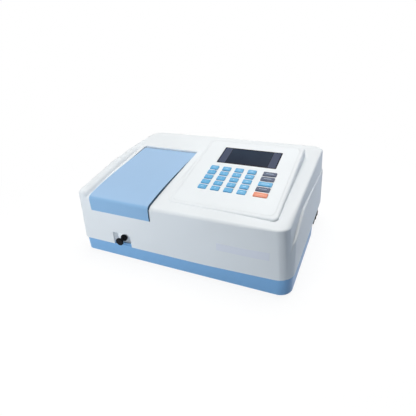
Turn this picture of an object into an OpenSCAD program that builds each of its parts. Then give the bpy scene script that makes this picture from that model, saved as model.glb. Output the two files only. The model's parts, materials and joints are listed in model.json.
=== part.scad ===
// Bench-top scanning spectrophotometer: a white cover on a blue base tray, a hinged lid over the
// sample compartment, a sloped console with display and keys, and a pull rod for the cell changer.
// Lengths are in millimetres. Places inside the body are measured from the tray's front face (y)
// and from the tray's underside (z); the whole body then stands on its feet.

/* [Body] */
// Width of the base tray
body_w = 460; // [410:1:510]
// Depth of the base tray
body_d = 335; // [300:1:380]
// Height of the base tray up to its join with the cover
base_h = 31; // [28:1:33]
// How much higher the join is at the right-hand end
join_rise = 5; // [0:0.5:6]
// How far the cover stands out past the base tray all round
cover_lip = 2.5; // [2:0.1:2.8]
// Plan radius of the right-hand corners of tray and cover
corner_r = 25; // [20:1:30]
// Plan radius of the left-hand corners of tray and cover
left_r = 14; // [12:0.5:16]
// Inward lean of the cover's walls, from the join to the top
wall_lean = 4.5; // [2:0.5:6]
// Rounding along the cover's top edges
edge_r = 8; // [6:0.5:10]
// Further lean of the right wall at its front, none at the rear
side_lean = 6; // [0:0.5:7]
// Radius of the cover's right top edge and right corners
side_edge_r = 4.5; // [4:0.5:8]
// Rounding along the left rim
rim_r = 14; // [11:1:16]
// Plan radius of the cover's rear left corner at the top
shoulder_r = 40; // [30:1:50]
// Wall thickness of the cover
cover_wall = 3.5; // [3:0.25:4]
// Wall thickness of the base tray
tray_wall = 4; // [3.8:0.1:5]
// Floor thickness of the base tray
tray_floor = 3; // [2.5:0.5:4]
// Height of the tray's locating lip above the join
lip_h = 5; // [3:0.5:6]
// Height of the rubber feet
foot_h = 6; // [4:0.5:9]
// Diameter of the rubber feet
foot_d = 22; // [16:1:28]
// Inset of the feet from the sides, front and rear of the tray
foot_inset = 42; // [36:1:60]

/* [Cover top] */
// Height of the cover's top along its front edge
front_z = 135; // [130:1:138]
// How much lower the top is at its front right corner
front_drop = 3; // [0:0.5:5]
// How far the front wall falls back at its right end
front_bow = 7; // [2:1:10]
// Height of the cover's top a third of the way back
mid_z = 150; // [147:0.5:152]
// Height of the cover's top at its highest, near the rear
rear_z = 171; // [169:0.5:173]
// How much lower the top is along its rear edge
rear_fall = 3.5; // [2:0.5:5]
// Height of the left rim at its front end
rim_front_z = 146; // [143:1:150]
// Height of the left rim's crest
rim_crest_z = 169; // [165:1:173]
// Height of the side ledge's crest above the join
ledge_h = 97; // [85:1:101]
// How far the wall under the side ledge stands proud
ledge_proud = 3; // [2:0.25:4]

/* [Sample lid] */
// Width of the deck to the left of the lid
rim_w = 37.5; // [36:0.5:39]
// Width of the sample lid
lid_w = 142; // [138:1:144]
// Distance of the lid's hinge axis behind the tray's front face
lid_d = 223; // [215:1:228]
// Height of the lid's front crease
lid_crease_z = 139; // [137:0.5:141]
// Height of the lid's top at the hinge
lid_rear_z = 161.5; // [159:0.5:162]
// Height of the lower edge of the lid's front skirt
skirt_z = 105; // [98:1:112]
// Wall thickness of the lid
lid_wall = 3; // [2.5:0.25:3.5]
// Depth of the lid's side walls below its top
lid_side_h = 10; // [9:0.5:12]
// Gap round the lid
lid_gap = 1; // [0.8:0.1:1.4]
// Radius of the lid's hinge barrel
barrel_r = 4; // [3.5:0.25:5]
// Diameter of the hinge pins
hinge_pin_d = 3; // [2.5:0.25:3.5]
// Length of each hinge pin
hinge_pin_l = 28; // [24:1:36]

/* [Console] */
// Slope of the console
console_tilt = 12; // [11:0.5:13]
// Distance of the first key row behind the tray's front face
console_y = 151.8; // [149:0.2:154]
// Height of the console at the first key row
console_z = 165.5; // [164:0.5:168]
// Width of the deck between the lid and the console
deck_w = 24.5; // [22:0.5:28]
// Width of the deck to the right of the console
side_w = 36; // [34:0.5:40]
// Length of the console in front of the first key row
console_front = 125; // [122:1:128]
// Length of the console behind the first key row
console_rear = 112; // [108:1:114]
// Plan radius of the console's corners
console_r = 10; // [7:1:14]
// Rounding along the console's top edges
console_edge = 4; // [3:0.5:5]
// Border of the console round the panel
panel_border = 9; // [7:0.5:12]
// Thickness of the console panel
panel_t = 2; // [1.8:0.1:2.4]
// Gap round the panel, the window and the keys
part_gap = 0.35; // [0.3:0.05:0.45]

/* [Display and keys] */
// Distance of the display window's middle to the right of the console's middle
window_in = 3.5; // [0:0.5:7]
// Width of the display window
window_w = 130; // [120:1:136]
// Distance of the window behind the first key row
window_v = 20.8; // [18:0.2:24]
// Length of the window down the slope
window_l = 59.5; // [54:0.5:64]
// Thickness of the window
window_t = 1.9; // [1.6:0.1:2]
// Width of the display module behind the window
module_w = 100; // [90:1:110]
// Depth of the display module
module_t = 9; // [7:0.5:12]
// Distance of the first key column to the left of the console's middle
key_in = 57.3; // [54:0.1:60]
// Distance between small key columns
key_pitch_x = 27.4; // [25:0.1:28]
// Distance between key rows
key_pitch_v = 16.5; // [16:0.1:18]
// Width of a small key
key_w = 17.8; // [15:0.1:19]
// Length of a key down the slope
key_l = 12.6; // [11:0.1:13]
// Width of a key in the side column
side_key_w = 27.4; // [24:0.1:29]
// Distance of the side column to the right of the console's middle
side_key_in = 62.1; // [60:0.1:65]
// Height of a key above the panel
key_h = 1.8; // [1.2:0.1:2.4]
// Travel of a key
key_travel = 0.8; // [0.5:0.1:1]
// Plan radius of a key's corners
key_r = 1.5; // [1:0.1:2.5]

/* [Cell changer] */
// Distance of the pull rod to the left of the lid's middle
rod_off = 4.2; // [0:0.1:8]
// Height of the pull rod
rod_z = 46; // [44:0.5:48]
// Diameter of the pull rod
rod_d = 6; // [5:0.25:7]
// Diameter of the knob's front disc
knob_d = 17; // [15:0.5:18]
// Diameter of the knob's rear disc
knob_rear_d = 15; // [13:0.5:16]
// Length of the knob
knob_l = 20; // [18:0.5:22]
// How far the knob reaches in front of the tray
knob_out = 13; // [11:0.5:16]
// Width of the knob notch in the cover
notch_w = 43.5; // [40:0.5:48]
// Height of the knob notch above the join
notch_h = 29.5; // [27:0.5:33]
// Depth of the knob notch behind the tray's front face
notch_d = 10; // [9.5:0.25:12]
// Running clearance of the pull rod, rails and pins, on the radius
run_gap = 0.05; // [0.02:0.01:0.09]
// Distance between cuvette slots
slot_pitch = 20; // [18:0.5:22]
// Width of a square cuvette slot
slot_w = 12.7; // [12.5:0.1:13.2]
// Depth of a cuvette slot
slot_h = 30; // [24:1:34]
// Width of the cell carriage
carriage_w = 56; // [52:1:60]
// Diameter of the guide rails
rail_d = 8; // [6:0.5:9]
// Distance between the guide rails
rail_pitch = 40; // [37:1:42]
// Wall thickness of the sample chamber
chamber_wall = 2.5; // [2:0.25:3]

/* [Switch] */
// Front end of the cut-out at the tray's right rear, in front of the tray's rear
bay_y = 120; // [113:1:130]
// Height of the cut-out
bay_h = 25; // [23:0.5:26]
// Depth of the cut-out
bay_d = 8; // [6:0.5:9]
// Middle of the switch, in front of the tray's rear
switch_y = 53; // [49:1:60]
// Length of the switch's bezel
bezel_l = 56; // [44:1:58]
// How far the bezel stands out into the cut-out
bezel_t = 6.5; // [5:0.25:7]
// Length of the rocker
rocker_l = 24; // [21:0.5:26]
// Width of the rocker
rocker_w = 10.4; // [9:0.2:11]
// Swing of the rocker to each side
rocker_swing = 8; // [5:1:9]

/* [Rear] */
// Distance of the cooling fan's axis from the tray's right side
fan_in = 80; // [74:1:90]
// Height of the fan's axis
fan_z = 92; // [88:1:96]
// Side of the fan's square frame
fan_size = 80; // [72:1:82]
// Depth of the fan's frame
fan_t = 25; // [20:1:26]
// Number of fan blades
fan_blades = 7; // [5:1:9]
// Distance between the mains inlet and the fan's axis
inlet_gap = 88; // [80:1:96]
// Height of the mains inlet
inlet_z = 78; // [72:1:90]
// Thickness of the rear panel
rear_panel_t = 1.5; // [1.2:0.1:2]

/* [Optics] */
// Height of the optical bench's underside above the tray's floor
bench_stand = 8; // [6:0.5:10]
// Thickness of the optical bench
bench_t = 6; // [5:0.5:8]
// Height of the light beam above the optical bench
beam_h = 58; // [54:0.5:62]
// Diameter of the grating turntable
turntable_d = 44; // [38:1:50]
// Diameter of the motor and mirror shafts
shaft_d = 5; // [4:0.25:6]

/* [Hidden] */
$fn = 48;
hull_fn = 24;
bow_steps = 5;
far = 400;
slack = 0.3;

key_rows = 5;
key_columns = 4;
slots = 4;
SMALL_KEYS = [for (r = [1 : key_rows], c = [1 : key_columns]) str("key_r", r, "_c", c)];
SIDE_KEYS = [for (r = [1 : key_rows]) str("side_key_", r)];
SIDE_COLOURS = ["#46485a", "#46485a", "#57a9dc", "#46485a", "#f28c69"];

// Along the depth, from the rear: the fan, the lamps, then the supply and the board in the room left
chamber_y0 = notch_d + 9;
bench_y0 = chamber_y0 - 3;
bench_y1 = body_d - 12 - fan_t;
lamp_y1 = bench_y1 - 4;
deuterium_y = lamp_y1 - 26;
mirror_y = deuterium_y - 32;
lamp_y0 = mirror_y - 31;
board_room = lamp_y0 - 6 - bench_y0 - 6 - 8;
board_l = (board_room - 1) / 2;
supply_l = board_room - board_l;

// Whole body: the knob reaches further out in front than the cover does at the rear
y_shift = (knob_out - cover_lip) / 2;
console_w = body_w - rim_w - lid_w - deck_w - side_w;
half_w = body_w / 2;
join_x = half_w - 170;
join_slope = join_rise / (half_w - join_x);
cover_half = half_w + cover_lip;
cover_front = -cover_lip;
cover_rear = body_d + cover_lip;
top_half = cover_half - wall_lean;
lip_inset = cover_wall - cover_lip + slack;
lip_room_in = max(tray_wall + slack, ledge_proud + cover_wall - cover_lip + 2 * slack);

// Lid outline
lid_x = rim_w - half_w;
lid_mid_x = lid_x + lid_w / 2;
crease_y = 9;
skirt_y = -0.8;
hinge_y = lid_d;
barrel_crown = 0.2;
hinge_z = lid_rear_z - barrel_r + barrel_crown;
deck_z = lid_rear_z + 2.5;
lid_ctrl = [70, lid_crease_z + 13.5];
curve_steps = 14;
shelf_drop = lid_side_h + lid_gap;
pocket_rear = hinge_y + barrel_r + lid_gap;
pocket_x0 = lid_x - lid_gap;
pocket_x1 = lid_x + lid_w + lid_gap;
shelf_w = 9;

// Hinge pins reach from the brackets through the cover's pocket wall into the lid
bracket_w = 7;
pin_in = hinge_pin_l - lid_gap - cover_wall - slack - bracket_w;
bracket_x0 = pocket_x0 - cover_wall - slack;
bracket_x1 = pocket_x1 + cover_wall + slack;
seal_inset = lid_gap + lid_wall + 1;

// Chamber below the lid
bench_z = tray_floor + bench_stand + bench_t;
beam_z = bench_z + beam_h;
chamber_x0 = pocket_x0 + shelf_w - chamber_wall;
chamber_x1 = pocket_x1 - shelf_w + chamber_wall;
chamber_y1 = pocket_rear - shelf_w;

// Carriage at its innermost place
rod_x = lid_mid_x - rod_off;
carriage_l = slots * slot_pitch + 12;
carriage_y = chamber_y1 - chamber_wall - 8 - carriage_l;
carriage_z = bench_z + chamber_wall + 10;
carriage_h = beam_z + 14 - carriage_z;
rail_z = carriage_z + 9;
beam_y = carriage_y + 6 + slot_pitch / 2;
knob_depth = 5;

// Console panel, in the console's own slope frame
console_x = lid_x + lid_w + deck_w;
console_mid = console_x + console_w / 2;
window_x = console_mid + window_in - window_w / 2;
key_x = console_mid - key_in;
side_key_x = console_mid + side_key_in;
panel_x = console_x + panel_border;
panel_w = console_w - 2 * panel_border;
panel_v = -console_front + panel_border;
panel_l = console_front + console_rear - 2 * panel_border;
board_drop = 4.5;
board_t = 1.6;
board_screw_x = [key_x - key_w / 2 - 8, side_key_x + side_key_w / 2 + 8];
board_screw_v = [-(key_rows - 1) * key_pitch_v - key_l / 2 - 8, key_l / 2 + 5];

// Rear
fan_x = half_w - fan_in;
inlet_x = fan_x - inlet_gap;
panel_y = cover_rear - cover_wall - wall_lean - slack - rear_panel_t;
rear_x0 = inlet_x - 38;
rear_x1 = cover_half - ledge_proud - cover_wall - corner_r;
rear_top = 146;
inlet_w = 28;
inlet_h = 20.5;

// Switch in the tray's cut-out
bay_front = body_d - bay_y;
switch_mid = body_d - switch_y;
switch_l = rocker_l + 7;
switch_w = rocker_w + 5.5;
switch_z = bay_h / 2 + 1;
rocker_axis = bezel_t - 5;
rocker_pin_d = 3;

// Optical bench and what stands on it
bench_x0 = chamber_x0 - 1;
bench_x1 = half_w - 40;
bench_screw_x = [bench_x0 + 28, bench_x1 - 120];
bench_screw_y = [bench_y0 + 44, bench_y1 - 13];
lamp_x0 = bench_x1 - 88;
lamp_x1 = bench_x1 - 4;
mono_x0 = chamber_x1;
mono_x1 = lamp_x0 - 14;
mono_y0 = bench_y0 + 56;
mono_y1 = mirror_y + 16;
mono_top = beam_z + 25;
motor_h = 24;
grating_x = (mono_x0 + mono_x1) / 2 - 4;
grating_y = beam_y - 10;
lamp_top = beam_z + 32;
mirror_x = lamp_x0 + 24;
detector_x = wall_lean + cover_wall + 7.5 - cover_half;

function lid_point(t) = pow(1 - t, 2) * [crease_y, lid_crease_z] + 2 * t * (1 - t) * lid_ctrl
    + t * t * [hinge_y, lid_rear_z];
function lid_curve(drop) = [for (i = [0 : curve_steps]) lid_point(i / curve_steps) - [0, drop]];
function reversed(list) = [for (i = [len(list) - 1 : -1 : 0]) list[i]];

module place() {
    translate([0, y_shift - body_d / 2, foot_h]) children();
}

// Frame of the sloped console: x across, y up the slope from the first key row, z out of the face
module on_console() {
    place() translate([0, console_y, console_z]) rotate([console_tilt, 0, 0]) children();
}

// Turns a (y, z) outline into a slab along x
module across(x0, x1) {
    translate([x0, 0, 0]) rotate([90, 0, 90]) linear_extrude(x1 - x0) children();
}

module round_rect(w, l, r) {
    translate([r, 0]) square([w - 2 * r, l]);
    translate([0, r]) square([w, l - 2 * r]);
    for (x = [r, w - r], y = [r, l - r]) translate([x, y]) circle(r);
}

module tray_plan(inset) {
    right = corner_r - inset;
    left = left_r - inset;
    translate([left_r - half_w, inset]) square([body_w - left_r - corner_r, body_d - 2 * inset]);
    translate([inset - half_w, left_r]) square([left + 1, body_d - 2 * left_r]);
    translate([half_w - corner_r - 1, corner_r]) square([right + 1, body_d - 2 * corner_r]);
    for (y = [left_r, body_d - left_r]) translate([left_r - half_w, y]) circle(left);
    for (y = [corner_r, body_d - corner_r]) translate([half_w - corner_r, y]) circle(right);
}

// Everything below the join, or below a line parallel to it
module below_join(offset_z) {
    translate([0, far, 0]) rotate([90, 0, 0]) linear_extrude(2 * far)
        polygon([[-far, -far], [far, -far], [far, base_h + offset_z + join_slope * (far - join_x)],
            [join_x, base_h + offset_z], [-far, base_h + offset_z]]);
}

module block(low, high) {
    translate(low) cube(high - low);
}

// Rounded disc that rounds a plan corner and a top edge at once
module corner_disc(plan_r, round_r, inset) {
    rotate_extrude($fn = hull_fn) intersection() {
        translate([plan_r - round_r, 0]) circle(round_r - inset);
        translate([0, -plan_r]) square(2 * plan_r);
    }
}

module wall_foot(r, inset) {
    cylinder(r = r - inset, h = 1, $fn = hull_fn);
}

module edge_ball(inset) {
    sphere(edge_r - inset, $fn = hull_fn);
}

// Sloped main block of the cover, or its hollow when inset by the wall
module cover_block(inset) {
    low = base_h - (inset > 0 ? 5 : 3);
    front = cover_front + wall_lean;
    rear = cover_rear - wall_lean;
    left = edge_r - top_half;
    right = top_half - ledge_proud - corner_r;
    right_edge = right + corner_r - side_edge_r;
    right_front = right - side_lean;
    bend = right * 0.2;
    hull() {
        for (y = [cover_front + left_r, cover_rear - left_r])
            translate([left_r - cover_half, y, low]) wall_foot(left_r, inset);
        for (y = [cover_front + corner_r, cover_rear - corner_r])
            translate([cover_half - ledge_proud - corner_r, y, low]) wall_foot(corner_r, inset);
        translate([rim_r - top_half, front + rim_r, front_z - rim_r])
            sphere(rim_r - inset, $fn = hull_fn);
        for (step = [0 : bow_steps - 1]) {
            share = pow(step / bow_steps, 2);
            translate([bend + (right_front - bend) * step / bow_steps, front + edge_r + front_bow * share,
                front_z - front_drop * share - edge_r]) edge_ball(inset);
        }
        translate([right_front, front + corner_r + front_bow, front_z - front_drop - side_edge_r])
            corner_disc(corner_r, side_edge_r, inset);
        for (p = [[lid_d * 0.45, mid_z], [hinge_y, deck_z]]) {
            translate([left, p[0], p[1] - edge_r]) edge_ball(inset);
            translate([right_edge - side_lean * (1 - p[0] / body_d), p[0], p[1] - front_drop - side_edge_r])
                sphere(side_edge_r - inset, $fn = hull_fn);
        }
        translate([shoulder_r - top_half, rear - shoulder_r, rear_z - edge_r]) edge_ball(inset);
        translate([right_edge, rear - shoulder_r, rear_z - side_edge_r])
            sphere(side_edge_r - inset, $fn = hull_fn);
        translate([shoulder_r - top_half, rear - shoulder_r, rear_z - rear_fall + 2 - rim_r])
            corner_disc(shoulder_r, rim_r, inset);
        translate([right, rear - corner_r, rear_z - rear_fall - side_edge_r])
            corner_disc(corner_r, side_edge_r, inset);
    }
}

// Raised rim to the left of the lid, falling towards the lid
module cover_rim(inset) {
    outer = rim_r - top_half;
    inner_r = 4;
    inner = pocket_x0 - inner_r;
    front = cover_front + wall_lean + rim_r;
    inner_ball = max(inner_r - inset, 0.5);
    sunk = 1;
    hull() {
        for (y = [cover_front + left_r, body_d * 0.8])
            translate([left_r - cover_half + sunk, y + sunk, base_h]) wall_foot(left_r, inset);
        for (p = [[front, rim_front_z], [body_d * 0.37, rim_crest_z - 6.5],
            [body_d * 0.6, rim_crest_z - 1], [body_d * 0.78, rim_crest_z]])
            translate([outer, p[0], p[1] - rim_r]) sphere(rim_r - inset, $fn = hull_fn);
        translate([inner, front, lid_crease_z - rim_r]) sphere(inner_ball, $fn = hull_fn);
        translate([inner, body_d * 0.75, lid_rear_z - rim_r]) sphere(inner_ball, $fn = hull_fn);
    }
}

// Console that carries the panel, standing out of the cover's slope
module console_disc(x, v, w, inset) {
    translate([x, v, w]) rotate_extrude($fn = hull_fn)
        translate([console_r - console_edge, 0]) circle(console_edge - inset);
}

module console_block(inset) {
    deep = 44;
    flare = 3;
    translate([0, console_y, console_z]) rotate([console_tilt, 0, 0]) hull() {
        for (x = [console_x + console_r, console_x + console_w - console_r],
            v = [-console_front + console_r, console_rear - console_r])
            console_disc(x, v, -console_edge, inset);
        for (x = [console_x + console_r - flare, console_x + console_w - console_r + flare],
            v = [-console_front + console_r + 20, console_rear - console_r + flare])
            console_disc(x, v, -deep, inset);
    }
}

// Soft ramps that lead up to the console at its front left
module console_ramp(inset) {
    ball = 4;
    foot_x = pocket_x1 + ball + 2;
    foot_y = 14;
    crest = [[console_x + 12, -console_front + 14], [console_mid, -console_front + 14],
        [console_x + 12, console_rear * 0.4]];
    hull() {
        for (p = crest)
            translate([0, console_y, console_z]) rotate([console_tilt, 0, 0])
                translate([p[0], p[1], -ball - 0.3]) sphere(ball - inset, $fn = hull_fn);
        for (p = [[foot_x, foot_y, front_z - 2.5], [console_mid, foot_y + 2, front_z - 3],
            [foot_x, lid_d * 0.8, mid_z + 5]])
            translate([p[0], p[1], p[2] - ball]) sphere(ball - inset, $fn = hull_fn);
    }
}

// Lower part of the right wall, which stands proud of the upper part along an arched ledge
module side_ledge() {
    round_r = 1.5;
    sunk = 0.3;
    end_h = ledge_h * 0.64;
    end_share = end_h / (front_z - front_drop - edge_r - base_h);
    rear_h = ledge_h * 0.91;
    rear_lean = wall_lean * rear_h / (rear_z - rear_fall - edge_r - base_h);
    x = cover_half - corner_r;
    front = cover_front + corner_r;
    rear = cover_rear - corner_r;
    hull() {
        translate([x - sunk, front + 2, base_h - 3]) wall_foot(corner_r, 0);
        translate([x, rear - 2, base_h - 3]) wall_foot(corner_r, 0);
        translate([x - (wall_lean + side_lean) * end_share - sunk,
            front + (wall_lean + front_bow) * end_share + 2, base_h + end_h]) ledge_disc(round_r);
        for (p = [[0.14, 0.87], [0.33, 0.99], [0.55, 1]])
            translate([x - wall_lean * 0.85 - side_lean * 0.4 * (1 - p[0]), body_d * p[0],
                base_h + ledge_h * p[1] - round_r]) ledge_disc(round_r);
        translate([x - rear_lean, rear - rear_lean - 2, base_h + rear_h - round_r])
            ledge_disc(round_r);
    }
}

module ledge_disc(round_r) {
    rotate_extrude($fn = hull_fn) translate([corner_r - round_r, 0]) circle(round_r);
}

// Room for the tray's locating lip
module lip_room() {
    intersection() {
        linear_extrude(far) difference() {
            tray_plan(lip_inset - 2 * slack);
            tray_plan(lip_room_in);
        }
        below_join(lip_h + slack);
    }
}

// Outline of everything above the shelf that the lid lies on
module lid_pocket_outline() {
    shelf = lid_curve(shelf_drop);
    inner_skirt = skirt_y + lid_wall + lid_gap;
    polygon(concat([[cover_front - 20, skirt_z - lid_gap], [inner_skirt, skirt_z - lid_gap],
        [inner_skirt, lid_crease_z - shelf_drop]], shelf,
        [[pocket_rear, lid_rear_z - shelf_drop], [pocket_rear, far], [cover_front - 20, far]]));
}

module lid_shelf_outline() {
    shelf = lid_curve(shelf_drop);
    low = lid_curve(shelf_drop + cover_wall);
    polygon(concat(shelf, [[pocket_rear + cover_wall, lid_rear_z - shelf_drop],
        [pocket_rear + cover_wall, lid_rear_z - shelf_drop - cover_wall]], reversed(low)));
}

// Pocket wall round the lid and round the knob notch, trimmed to the cover's outside
module cover_inner_walls() {
    across(pocket_x0 - cover_wall, pocket_x1 + cover_wall) lid_shelf_outline();
    for (x = [pocket_x0 - cover_wall, pocket_x1])
        across(x, x + cover_wall) polygon(concat([[0, skirt_z - 6]],
            [[hinge_y + barrel_r, lid_rear_z - shelf_drop - cover_wall],
            [pocket_rear + cover_wall, far], [0, far]]));
    block([pocket_x0 - cover_wall, pocket_rear, lid_rear_z - shelf_drop - cover_wall],
        [pocket_x1 + cover_wall, pocket_rear + cover_wall, far]);
    block([pocket_x0 - cover_wall, 0, skirt_z - 8],
        [pocket_x1 + cover_wall, notch_d - 3, lid_crease_z - shelf_drop]);
    block([rod_x - notch_w / 2 - cover_wall, 0, base_h - 2],
        [rod_x + notch_w / 2 + cover_wall, notch_d + cover_wall, base_h + notch_h + cover_wall]);
}

module cover_outside(inset) {
    cover_block(inset);
    cover_rim(inset);
    console_block(inset);
    console_ramp(inset);
}

module top_cover() {
    color("#f1f3f5") place() difference() {
        union() {
            difference() {
                union() {
                    cover_outside(0);
                    side_ledge();
                }
                cover_outside(cover_wall);
            }
            intersection() {
                cover_inner_walls();
                cover_outside(1);
            }
        }
        across(pocket_x0, pocket_x1) lid_pocket_outline();
        block([pocket_x0 + shelf_w, chamber_y0 + chamber_wall, skirt_z - 20],
            [pocket_x1 - shelf_w, chamber_y1 - chamber_wall, far]);
        for (x = [pocket_x0 - cover_wall - 1, pocket_x1 - 1])
            translate([x, hinge_y, hinge_z]) rotate([0, 90, 0])
                cylinder(d = hinge_pin_d + 2, h = cover_wall + 2);
        block([rod_x - notch_w / 2, cover_front - 20, base_h - 1],
            [rod_x + notch_w / 2, notch_d, base_h + notch_h]);
        translate([rod_x, 0, rod_z]) rotate([-90, 0, 0])
            cylinder(d = rod_d + 6, h = notch_d + cover_wall + 1);
        block([rear_x0 + 8, panel_y - 4, base_h + 10],
            [rear_x1 - 8, cover_rear + 10, rear_top - 8]);
        below_join(0);
        lip_room();
        translate([0, console_y, console_z]) rotate([console_tilt, 0, 0]) {
            translate([panel_x - part_gap, panel_v - part_gap, -panel_t]) linear_extrude(far)
                round_rect(panel_w + 2 * part_gap, panel_l + 2 * part_gap, console_r);
            translate([panel_x + 8, panel_v + 8, -far / 8]) linear_extrude(far)
                round_rect(panel_w - 16, panel_l - 16, console_r / 2);
        }
    }
}

module base_tray() {
    wall_x = half_w - bay_d;
    color("#79a3d2") place() difference() {
        union() {
            difference() {
                union() {
                    intersection() {
                        linear_extrude(far) tray_plan(0);
                        below_join(0);
                    }
                    intersection() {
                        translate([0, 0, tray_floor]) linear_extrude(far) tray_plan(lip_inset);
                        below_join(lip_h);
                    }
                }
                translate([0, 0, tray_floor]) linear_extrude(far) tray_plan(tray_wall);
            }
            intersection() {
                block([wall_x - tray_wall, bay_front - tray_wall, 0], [half_w, far, bay_h + tray_floor]);
                linear_extrude(far) tray_plan(0);
            }
            for (x = bench_screw_x, y = bench_screw_y)
                translate([x, y, 0]) cylinder(d = 14, h = tray_floor + bench_stand);
        }
        block([wall_x, bay_front, -1], [half_w + 1, far, bay_h]);
        translate([wall_x - tray_wall - 1, switch_mid, switch_z]) rotate([90, 0, 90])
            linear_extrude(tray_wall + 2) translate([-switch_l / 2, -switch_w / 2])
                square([switch_l, switch_w]);
        for (x = bench_screw_x, y = bench_screw_y)
            translate([x, y, -1]) cylinder(d = 4.5, h = tray_floor + bench_stand + 2);
    }
}

module rubber_feet() {
    color("#2b2c2e") place()
        for (x = [foot_inset - half_w, half_w - foot_inset], y = [foot_inset, body_d - foot_inset])
            translate([x, y, -foot_h]) {
                cylinder(d1 = foot_d - 3, d2 = foot_d, h = 1.5);
                translate([0, 0, 1.5]) cylinder(d = foot_d, h = foot_h - 1.5);
            }
}

// Screws that hold the optical bench down through the tray
module bench_screws() {
    color("#b9bcc0") place() for (x = bench_screw_x, y = bench_screw_y) translate([x, y, 0]) {
        translate([0, 0, -2.2]) cylinder(d = 8, h = 2.2);
        cylinder(d = 4, h = bench_z - 1);
    }
}

module sample_lid() {
    top = lid_curve(0);
    under = lid_curve(lid_side_h);
    hollow = lid_curve(lid_wall);
    nose = skirt_y + lid_wall;
    rear_y = hinge_y - 1.5;
    web_y = hinge_y - barrel_r - 2;
    color("#a3c6ea") place() difference() {
        union() {
            across(lid_x, lid_x + lid_w) polygon(concat([[skirt_y, skirt_z], [skirt_y, skirt_z + 24],
                [skirt_y + 1.2, lid_crease_z - 5], [skirt_y + 4.5, lid_crease_z - 1.5]], top,
                [[hinge_y, hinge_z], [rear_y, hinge_z], [rear_y, lid_rear_z - lid_side_h]],
                [for (p = reversed(under)) if (p[0] < rear_y) p],
                [[nose, lid_crease_z - lid_side_h], [nose, skirt_z]]));
            translate([lid_x, hinge_y, hinge_z]) rotate([0, 90, 0])
                cylinder(r = barrel_r, h = lid_w);
        }
        across(lid_x + lid_wall, lid_x + lid_w - lid_wall) polygon(concat(
            [[nose, skirt_z - 1], [nose, lid_crease_z - lid_wall - 3]],
            [for (p = hollow) if (p[0] < web_y) p],
            [[web_y, lid_rear_z - lid_wall - 0.5], [web_y, skirt_z - 1]]));
        for (x = [lid_x - 1, lid_x + lid_w - pin_in - 1])
            translate([x, hinge_y, hinge_z]) rotate([0, 90, 0])
                cylinder(d = hinge_pin_d + 2 * run_gap, h = pin_in + 2);
    }
}

// Blocks inside the cover that carry the hinge pins
module lid_hinge_brackets() {
    low = lid_rear_z - shelf_drop - cover_wall - 4;
    color("#8f9499") place() for (x = [bracket_x0 - bracket_w, bracket_x1]) difference() {
        block([x, hinge_y - 5, low], [x + bracket_w, hinge_y + 5, hinge_z + hinge_pin_d / 2 + 0.5]);
        translate([x - 1, hinge_y, hinge_z]) rotate([0, 90, 0])
            cylinder(d = hinge_pin_d + 2 * run_gap, h = bracket_w + 2);
    }
}

module lid_hinge_pins() {
    color("#c4c7cb") place()
        for (x = [bracket_x0 - bracket_w, bracket_x1 + bracket_w - hinge_pin_l])
            translate([x, hinge_y, hinge_z]) rotate([0, 90, 0])
                cylinder(d = hinge_pin_d, h = hinge_pin_l);
}

// Foam frame on the shelf, inside the lid's side walls
module chamber_seal() {
    first = 1;
    last = curve_steps - 1;
    low = lid_curve(shelf_drop);
    high = lid_curve(lid_wall + 2);
    color("#222428") place() difference() {
        across(pocket_x0 + seal_inset, pocket_x1 - seal_inset)
            polygon(concat([for (i = [first : last]) low[i]],
                [for (i = [last : -1 : first]) high[i]]));
        block([pocket_x0 + shelf_w, chamber_y0 + chamber_wall, skirt_z],
            [pocket_x1 - shelf_w, chamber_y1 - chamber_wall - 6, far]);
    }
}

module sample_chamber() {
    color("#26282c") place() difference() {
        block([chamber_x0, chamber_y0, bench_z], [chamber_x1, chamber_y1, lid_rear_z]);
        block([chamber_x0 + chamber_wall, chamber_y0 + chamber_wall, bench_z + chamber_wall],
            [chamber_x1 - chamber_wall, chamber_y1 - chamber_wall, far]);
        across(chamber_x0 - 1, chamber_x1 + 1) polygon(concat(
            lid_curve(shelf_drop + cover_wall + slack), [[hinge_y, far], [crease_y, far]]));
        translate([chamber_x0 - 1, beam_y, beam_z]) rotate([0, 90, 0])
            cylinder(d = 10, h = chamber_x1 - chamber_x0 + 2);
        translate([rod_x, chamber_y0 - 1, rod_z]) rotate([-90, 0, 0])
            cylinder(d = rod_d + 2, h = chamber_wall + 2);
    }
}

module guide_rails() {
    color("#c4c7cb") place() for (side = [-1, 1])
        translate([rod_x + side * rail_pitch / 2, chamber_y0 + chamber_wall, rail_z])
            rotate([-90, 0, 0])
                cylinder(d = rail_d, h = chamber_y1 - chamber_y0 - 2 * chamber_wall);
}

// Holder of the cuvettes, which slides along the rails
module cell_carriage() {
    window = 6;
    color("#3a3d42") place() difference() {
        block([rod_x - carriage_w / 2, carriage_y, carriage_z],
            [rod_x + carriage_w / 2, carriage_y + carriage_l, carriage_z + carriage_h]);
        for (i = [0 : slots - 1]) {
            y = beam_y + i * slot_pitch;
            block([rod_x - slot_w / 2, y - slot_w / 2, carriage_z + carriage_h - slot_h],
                [rod_x + slot_w / 2, y + slot_w / 2, far]);
            block([rod_x - carriage_w, y - window / 2, beam_z - 6],
                [rod_x + carriage_w, y + window / 2, beam_z + 6]);
        }
        for (side = [-1, 1])
            translate([rod_x + side * rail_pitch / 2, carriage_y - 1, rail_z]) rotate([-90, 0, 0])
                cylinder(d = rail_d + 2 * run_gap, h = carriage_l + 2);
    }
}

module pull_rod() {
    color("#c4c7cb") place() translate([rod_x, knob_depth - knob_out, rod_z]) rotate([-90, 0, 0])
        cylinder(d = rod_d, h = carriage_y - knob_depth + knob_out);
}

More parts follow.
